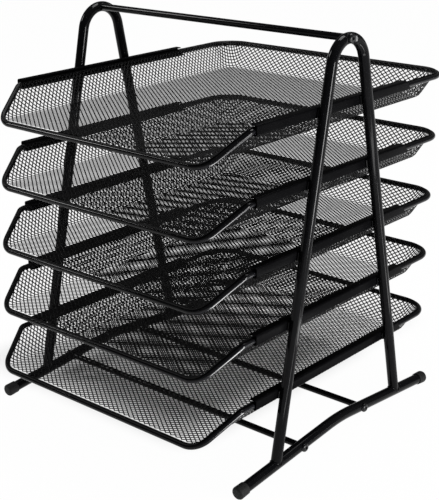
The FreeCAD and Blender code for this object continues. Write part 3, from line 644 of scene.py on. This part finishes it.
def inside_hem(flat):
    "How far points of the flat sheet lie inside the line where the hem holds it, once it is pressed."
    plan = press_sheet(flat)[0][:, :2]
    starts, ends = rim_plan, np.roll(rim_plan, -1, axis=0)
    spans = ends - starts
    offsets = plan[:, None] - starts[None]
    share = np.clip((offsets * spans).sum(2) / (spans * spans).sum(1), 0, 1)
    gaps = np.hypot(*np.moveaxis(offsets - share[..., None] * spans, 2, 0)).min(1)
    straddle = (starts[:, 1] > plan[:, None, 1]) != (ends[:, 1] > plan[:, None, 1])
    rise = np.where(spans[:, 1] == 0, 1, spans[:, 1])
    crossing = starts[:, 0] + (plan[:, None, 1] - starts[:, 1]) * spans[:, 0] / rise
    within = (straddle & (plan[:, None, 0] < crossing)).sum(1) % 2 == 1
    return np.where(within, gaps, -gaps) - HEM_INSET


def strand_runs(long, short):
    "Runs of points along all strands of a sheet with these diamonds, each cut where it meets the hem."
    runs = []
    lines = int(SHEET_REACH / long + SHEET_REACH / short) + 2
    steps = np.arange(-int(2 * SHEET_REACH / long), int(2 * SHEET_REACH / long) + 1)
    for lean in (-1, 1):
        for line in range(-lines, lines + 1):
            flat = np.stack([steps * long / 2, lean * short * (line - steps / 2)], axis=1)
            flat = flat[np.abs(flat[:, 1]) < SHEET_REACH]
            if len(flat) < 2:
                continue
            depth = inside_hem(flat)
            kept = np.flatnonzero(depth > 0)
            if not len(kept):
                continue
            for group in np.split(kept, np.flatnonzero(np.diff(kept) > 1) + 1):
                runs.append(cut_run(flat, depth, group))
    return runs


def cut_run(flat, depth, group):
    "One run of points, with its two ends brought to the hem."
    points = [flat[number] for number in group]
    for at, outer in ((0, group[0] - 1), (len(points), group[-1] + 1)):
        if not 0 <= outer < len(flat):
            continue
        inner = points[0] if at == 0 else points[-1]
        low, high = 0.0, 1.0
        for _ in range(CUT_HALVINGS):
            middle = (low + high) / 2
            spot = inner + (flat[outer] - inner) * middle
            if inside_hem(spot[None])[0] > 0:
                low = middle
            else:
                high = middle
        points.insert(at if at == 0 else len(points), inner + (flat[outer] - inner) * low)
    return np.array(points)


flat_strands, given = new_tree("Flat strands", {"Width": "Float", "Thickness": "Float", "Finish": "Material"})
run = add_node(flat_strands, "GeometryNodeMeshToCurve", {"Mesh": given["Geometry"]})
facing = add_node(flat_strands, "GeometryNodeInputNamedAttribute", {"Name": "facing"},
                  data_type="FLOAT_VECTOR")
laid = add_node(flat_strands, "GeometryNodeSetCurveNormal",
                {"Curve": run.outputs["Curve"], "Normal": facing.outputs["Attribute"]}, mode="FREE")
section = add_node(flat_strands, "GeometryNodeCurvePrimitiveQuadrilateral",
                   {"Width": given["Thickness"], "Height": given["Width"]})
skin = add_node(flat_strands, "GeometryNodeCurveToMesh",
                {"Curve": laid.outputs["Curve"], "Profile Curve": section.outputs["Curve"],
                 "Fill Caps": True})
end_tree(flat_strands, skin.outputs["Mesh"], given["Finish"])


def strand_sheet(name, diamond):
    "All strands of one tray's sheet, about the middle of its rim."
    flat_runs = strand_runs(*diamond)
    spots, normals = press_sheet(np.concatenate(flat_runs))
    edges, first = [], 0
    for flat in flat_runs:
        edges += [(first + step, first + step + 1) for step in range(len(flat) - 1)]
        first += len(flat)
    sheet = new_object(name, spots, edges)
    facing = sheet.data.attributes.new("facing", "FLOAT_VECTOR", "POINT")
    facing.data.foreach_set("vector", normals.astype(np.float32).ravel())
    run_tree(sheet, flat_strands, Width=STRAND_WIDTH * MM, Thickness=STRAND_THICKNESS * MM, Finish=mesh_coat)
    return sheet


mesh_coat = coated_steel("Black powder coat on expanded steel", "#09090a", "#111112", (0.42, 0.55),
                         0.8, 0.004, 0.15)
for tier in TIERS:
    basket = strand_sheet(f"tray_{tier}_mesh", DIAMONDS[tier])
    place_mesh(basket, Matrix.Identity(3), tray_place(tier))
    fix(basket, f"tray_{tier}", "mesh_coat", f"tray_{tier}_mesh_basket")

# Tray hems.
# The cut edge of the mesh is folded double and rolled over the rim wire, then filled by the coat to a narrow
# band with the mesh still faintly showing through.
HEM_WIDTH = 2.3
HEM_THICKNESS = 0.65
HEM_OVER_SIDE = math.radians(112)
HEM_OVER_FRONT = math.radians(120)
HEM_STEPS = 7
HEM_EDGE = 0.3
HEM_BITE = 0.1
WALL_LIFT = math.radians(33)
LIP_BLEND = 7.4


def sheet_normals():
    "Direction from the rim wire to the sheet that lies on it, for each point of the rim."
    normals = []
    for point in rim_run:
        side = 1 if point.x > 0 else -1
        wall = Vector((-side * math.sin(WALL_ANGLE), 0, math.cos(WALL_ANGLE)))
        corner_x, corner_y = rim_half - REAR_CORNER, TRAY_HALF_DEPTH - REAR_CORNER
        if point.y > corner_y - 1e-6:
            radial = Vector((side * max(abs(point.x) - corner_x, 0), point.y - corner_y, 0)).normalized()
            wall = -radial * math.sin(WALL_ANGLE) + Vector((0, 0, math.cos(WALL_ANGLE)))
        share = min(max((-LIP_DROP + LIP_BLEND - point.z) / LIP_BLEND, 0), 1)
        normals.append(wall.lerp(Vector((0, 0, 1)), share * share * (3 - 2 * share)).normalized())
    return normals


def hem_section(tangent, normal):
    "Points round the hem's section at one place of the rim, from over the wire down to the sheet and back."
    inward = Vector((0, 0, 1)).cross(tangent).normalized()
    upward = tangent.cross(inward).normalized()
    lift = math.atan2(normal.dot(upward), normal.dot(inward))
    share = min(max((lift - WALL_LIFT) / WALL_ANGLE, 0), 1)
    over = HEM_OVER_SIDE + (HEM_OVER_FRONT - HEM_OVER_SIDE) * share
    turns = [over + (lift - over) * step / HEM_STEPS for step in range(HEM_STEPS + 1)]
    spokes = [inward * math.cos(turn) + upward * math.sin(turn) for turn in turns]
    down = inward * math.sin(lift) - upward * math.cos(lift)
    thick = WIRE_RADIUS + HEM_THICKNESS
    thin = WIRE_RADIUS - HEM_BITE
    section = [spokes[0] * (thick - HEM_EDGE)] + [spoke * thick for spoke in spokes[1:]]
    section += [spokes[-1] * thick + down * (HEM_WIDTH - HEM_EDGE),
                spokes[-1] * (thick - HEM_EDGE) + down * HEM_WIDTH]
    section += [spokes[-1] * (thin + HEM_BITE) + down * HEM_WIDTH] + [spoke * thin for spoke in spokes[::-1]]
    return section


def hem_model():
    "Hem of one tray about the middle of its rim."
    points, faces = [], []
    count = len(rim_run)
    normals = sheet_normals()
    for number, point in enumerate(rim_run):
        tangent = (rim_run[(number + 1) % count] - rim_run[number - 1]).normalized()
        section = hem_section(tangent, normals[number])
        points += [point + offset for offset in section]
    size = len(section)
    for number in range(count):
        following = (number + 1) % count
        for step in range(size):
            beside = (step + 1) % size
            faces.append([number * size + step, number * size + beside,
                          following * size + beside, following * size + step])
    return points, faces


hem_points, hem_faces = hem_model()
for tier in TIERS:
    spot = tray_place(tier)
    hem = new_object(f"tray_{tier}_hem", [point + spot for point in hem_points], (), hem_faces)
    soften(hem, mesh_coat, 50.0)
    fix(hem, f"tray_{tier}", "mesh_coat")

# Desk, light and camera.
# A white table, dim only where the trays shade it, under soft boxes above and at the front left. A slim box
# at the right, three cards on the table, one of them for the rim wires alone, and a strip behind draw the
# thin light lines along the tubes and wires.
# The table glows white to the eye and in reflections, except in a drawn box under the trays. This box is a
# painted shadow mask: inside it the table's real lit shading shows, and outside it the glow hides the shadow.
SHADE_POOL_MIDDLE = (-92, 82, 0)
SHADE_POOL_HALF = (132, 180, 0)
SHADE_POOL_ROUNDING = 60
SHADE_POOL_FADE = (-30, 40)
SHADE_POOL_WHITE = (0.12, 0.985)
TABLE_HALF = 60000
table_corners = [(x * TABLE_HALF, y * TABLE_HALF, 0) for x, y in ((-1, -1), (1, -1), (1, 1), (-1, 1))]
floor = new_object("table", table_corners, (), [[0, 1, 2, 3]])
table = bpy.data.materials.new("White table")
table.use_nodes = True
tree = table.node_tree
shader = tree.nodes["Principled BSDF"]
shader.inputs["Base Color"].default_value = linear("#f4f4f4")
shader.inputs["Roughness"].default_value = 0.9
shader.inputs["Specular IOR Level"].default_value = 0.0
rays = add_node(tree, "ShaderNodeLightPath")
seen = add_node(tree, "ShaderNodeMath", {0: rays.outputs["Is Camera Ray"], 1: rays.outputs["Is Glossy Ray"]},
                operation="MAXIMUM")
seen = add_node(tree, "ShaderNodeMath", {0: seen.outputs[0], 1: rays.outputs["Is Transmission Ray"]},
                operation="MAXIMUM")
place = add_node(tree, "ShaderNodeTexCoord").outputs["Object"]
offset = add_node(tree, "ShaderNodeVectorMath", {0: place, 1: Vector(SHADE_POOL_MIDDLE) * MM}, operation="SUBTRACT")
offset = add_node(tree, "ShaderNodeVectorMath", {0: offset.outputs["Vector"]}, operation="ABSOLUTE")
offset = add_node(tree, "ShaderNodeVectorMath", {0: offset.outputs["Vector"], 1: Vector(SHADE_POOL_HALF) * MM},
                  operation="SUBTRACT")
past = add_node(tree, "ShaderNodeSeparateXYZ", {"Vector": offset.outputs["Vector"]})
past = add_node(tree, "ShaderNodeMath", {0: past.outputs["X"], 1: past.outputs["Y"], 2: SHADE_POOL_ROUNDING * MM},
                operation="SMOOTH_MAX")
sweep = add_node(tree, "ShaderNodeMapRange",
                 {"Value": past.outputs[0], "From Min": SHADE_POOL_FADE[0] * MM, "From Max": SHADE_POOL_FADE[1] * MM,
                  "To Min": SHADE_POOL_WHITE[0], "To Max": SHADE_POOL_WHITE[1]}, interpolation_type="SMOOTHSTEP")
share = add_node(tree, "ShaderNodeMath", {0: seen.outputs[0], 1: sweep.outputs["Result"]},
                 operation="MULTIPLY")
white = add_node(tree, "ShaderNodeEmission", {"Color": (1, 1, 1, 1), "Strength": 1.0})
mixed = add_node(tree, "ShaderNodeMixShader",
                 {0: share.outputs[0], 1: shader.outputs[0], 2: white.outputs[0]})
tree.links.new(mixed.outputs[0], tree.nodes["Material Output"].inputs["Surface"])
floor.data.materials.append(table)

world = bpy.context.scene.world or bpy.data.worlds.new("Studio")
bpy.context.scene.world = world
world.use_nodes = True
studio = world.node_tree.nodes["Background"]
studio.inputs["Color"].default_value = linear("#ffffff")
studio.inputs["Strength"].default_value = 0.12


def soft_box(name, place, aim, width, height, power, turn=0.0):
    "Rectangular studio light, aimed at a point and turned about its aim, in millimetres, watts and degrees."
    light = bpy.data.lights.new(name, "AREA")
    light.shape = "RECTANGLE"
    light.size = width * MM
    light.size_y = height * MM
    light.energy = power
    lamp = bpy.data.objects.new(name, light)
    lamp.location = Vector(place) * MM
    lamp.rotation_euler = (Vector(aim) - Vector(place)).to_track_quat("-Z", "Y").to_euler()
    lamp.rotation_euler.rotate_axis("Z", math.radians(turn))
    lamp.visible_camera = False
    bpy.context.scene.collection.objects.link(lamp)
    return lamp


soft_box("top_box", (0, 350, 1600), (0, 0, 150), 900, 500, 14)
soft_box("left_box", (-1182, -768, 1250), (0, 0, 300), 300, 500, 9)
soft_box("right_box", (1300, -40, 210), (150, -40, 210), 300, 400, 15)
soft_box("right_card", (560, -160, 2), (560, -160, 100), 440, 90, 1.2, -32)
soft_box("rear_card", (465, 85, 2), (465, 85, 100), 310, 70, 0.8, 29)
soft_box("back_strip", (200, 800, 1210), (149, -100, 12), 700, 60, 0.5)
corner_card = soft_box("corner_card", (430, -60, 2), (430, -60, 100), 420, 110, 7, -16)
rim_wires = bpy.data.collections.new("Rim wires")
for tier in TIERS:
    rim_wires.objects.link(bpy.data.objects[f"tray_{tier}_rim"])
corner_card.light_linking.receiver_collection = rim_wires

CAMERA_PLACE = Vector((713.2, -820.1 + FRAME_MIDDLE, 540.9))
YAW, PITCH, ROLL = 0.71626, 0.31015, -0.00809
IMAGE_WIDTH, IMAGE_HEIGHT = 439, 500
FOCAL_PIXELS = 1186.035
AXIS_PIXEL = (214.739, 207.023)
SENSOR = 36.0
back = Vector((math.sin(YAW) * math.cos(PITCH), -math.cos(YAW) * math.cos(PITCH), math.sin(PITCH)))
level = Vector((math.cos(YAW), math.sin(YAW), 0))
upright = back.cross(level)
right = math.cos(ROLL) * level + math.sin(ROLL) * upright
up = math.cos(ROLL) * upright - math.sin(ROLL) * level
view = bpy.data.cameras.new("Photo view")
view.sensor_width = SENSOR
view.lens = SENSOR * FOCAL_PIXELS / IMAGE_HEIGHT
view.shift_x = (IMAGE_WIDTH / 2 - AXIS_PIXEL[0]) / IMAGE_HEIGHT
view.shift_y = (AXIS_PIXEL[1] - IMAGE_HEIGHT / 2) / IMAGE_HEIGHT
view.clip_end = 100
camera = bpy.data.objects.new("Photo view", view)
camera.matrix_world = Matrix.Translation(CAMERA_PLACE * MM) @ Matrix((right, up, back)).transposed().to_4x4()
bpy.context.scene.collection.objects.link(camera)
bpy.context.scene.camera = camera
bpy.context.scene.view_settings.view_transform = "Standard"
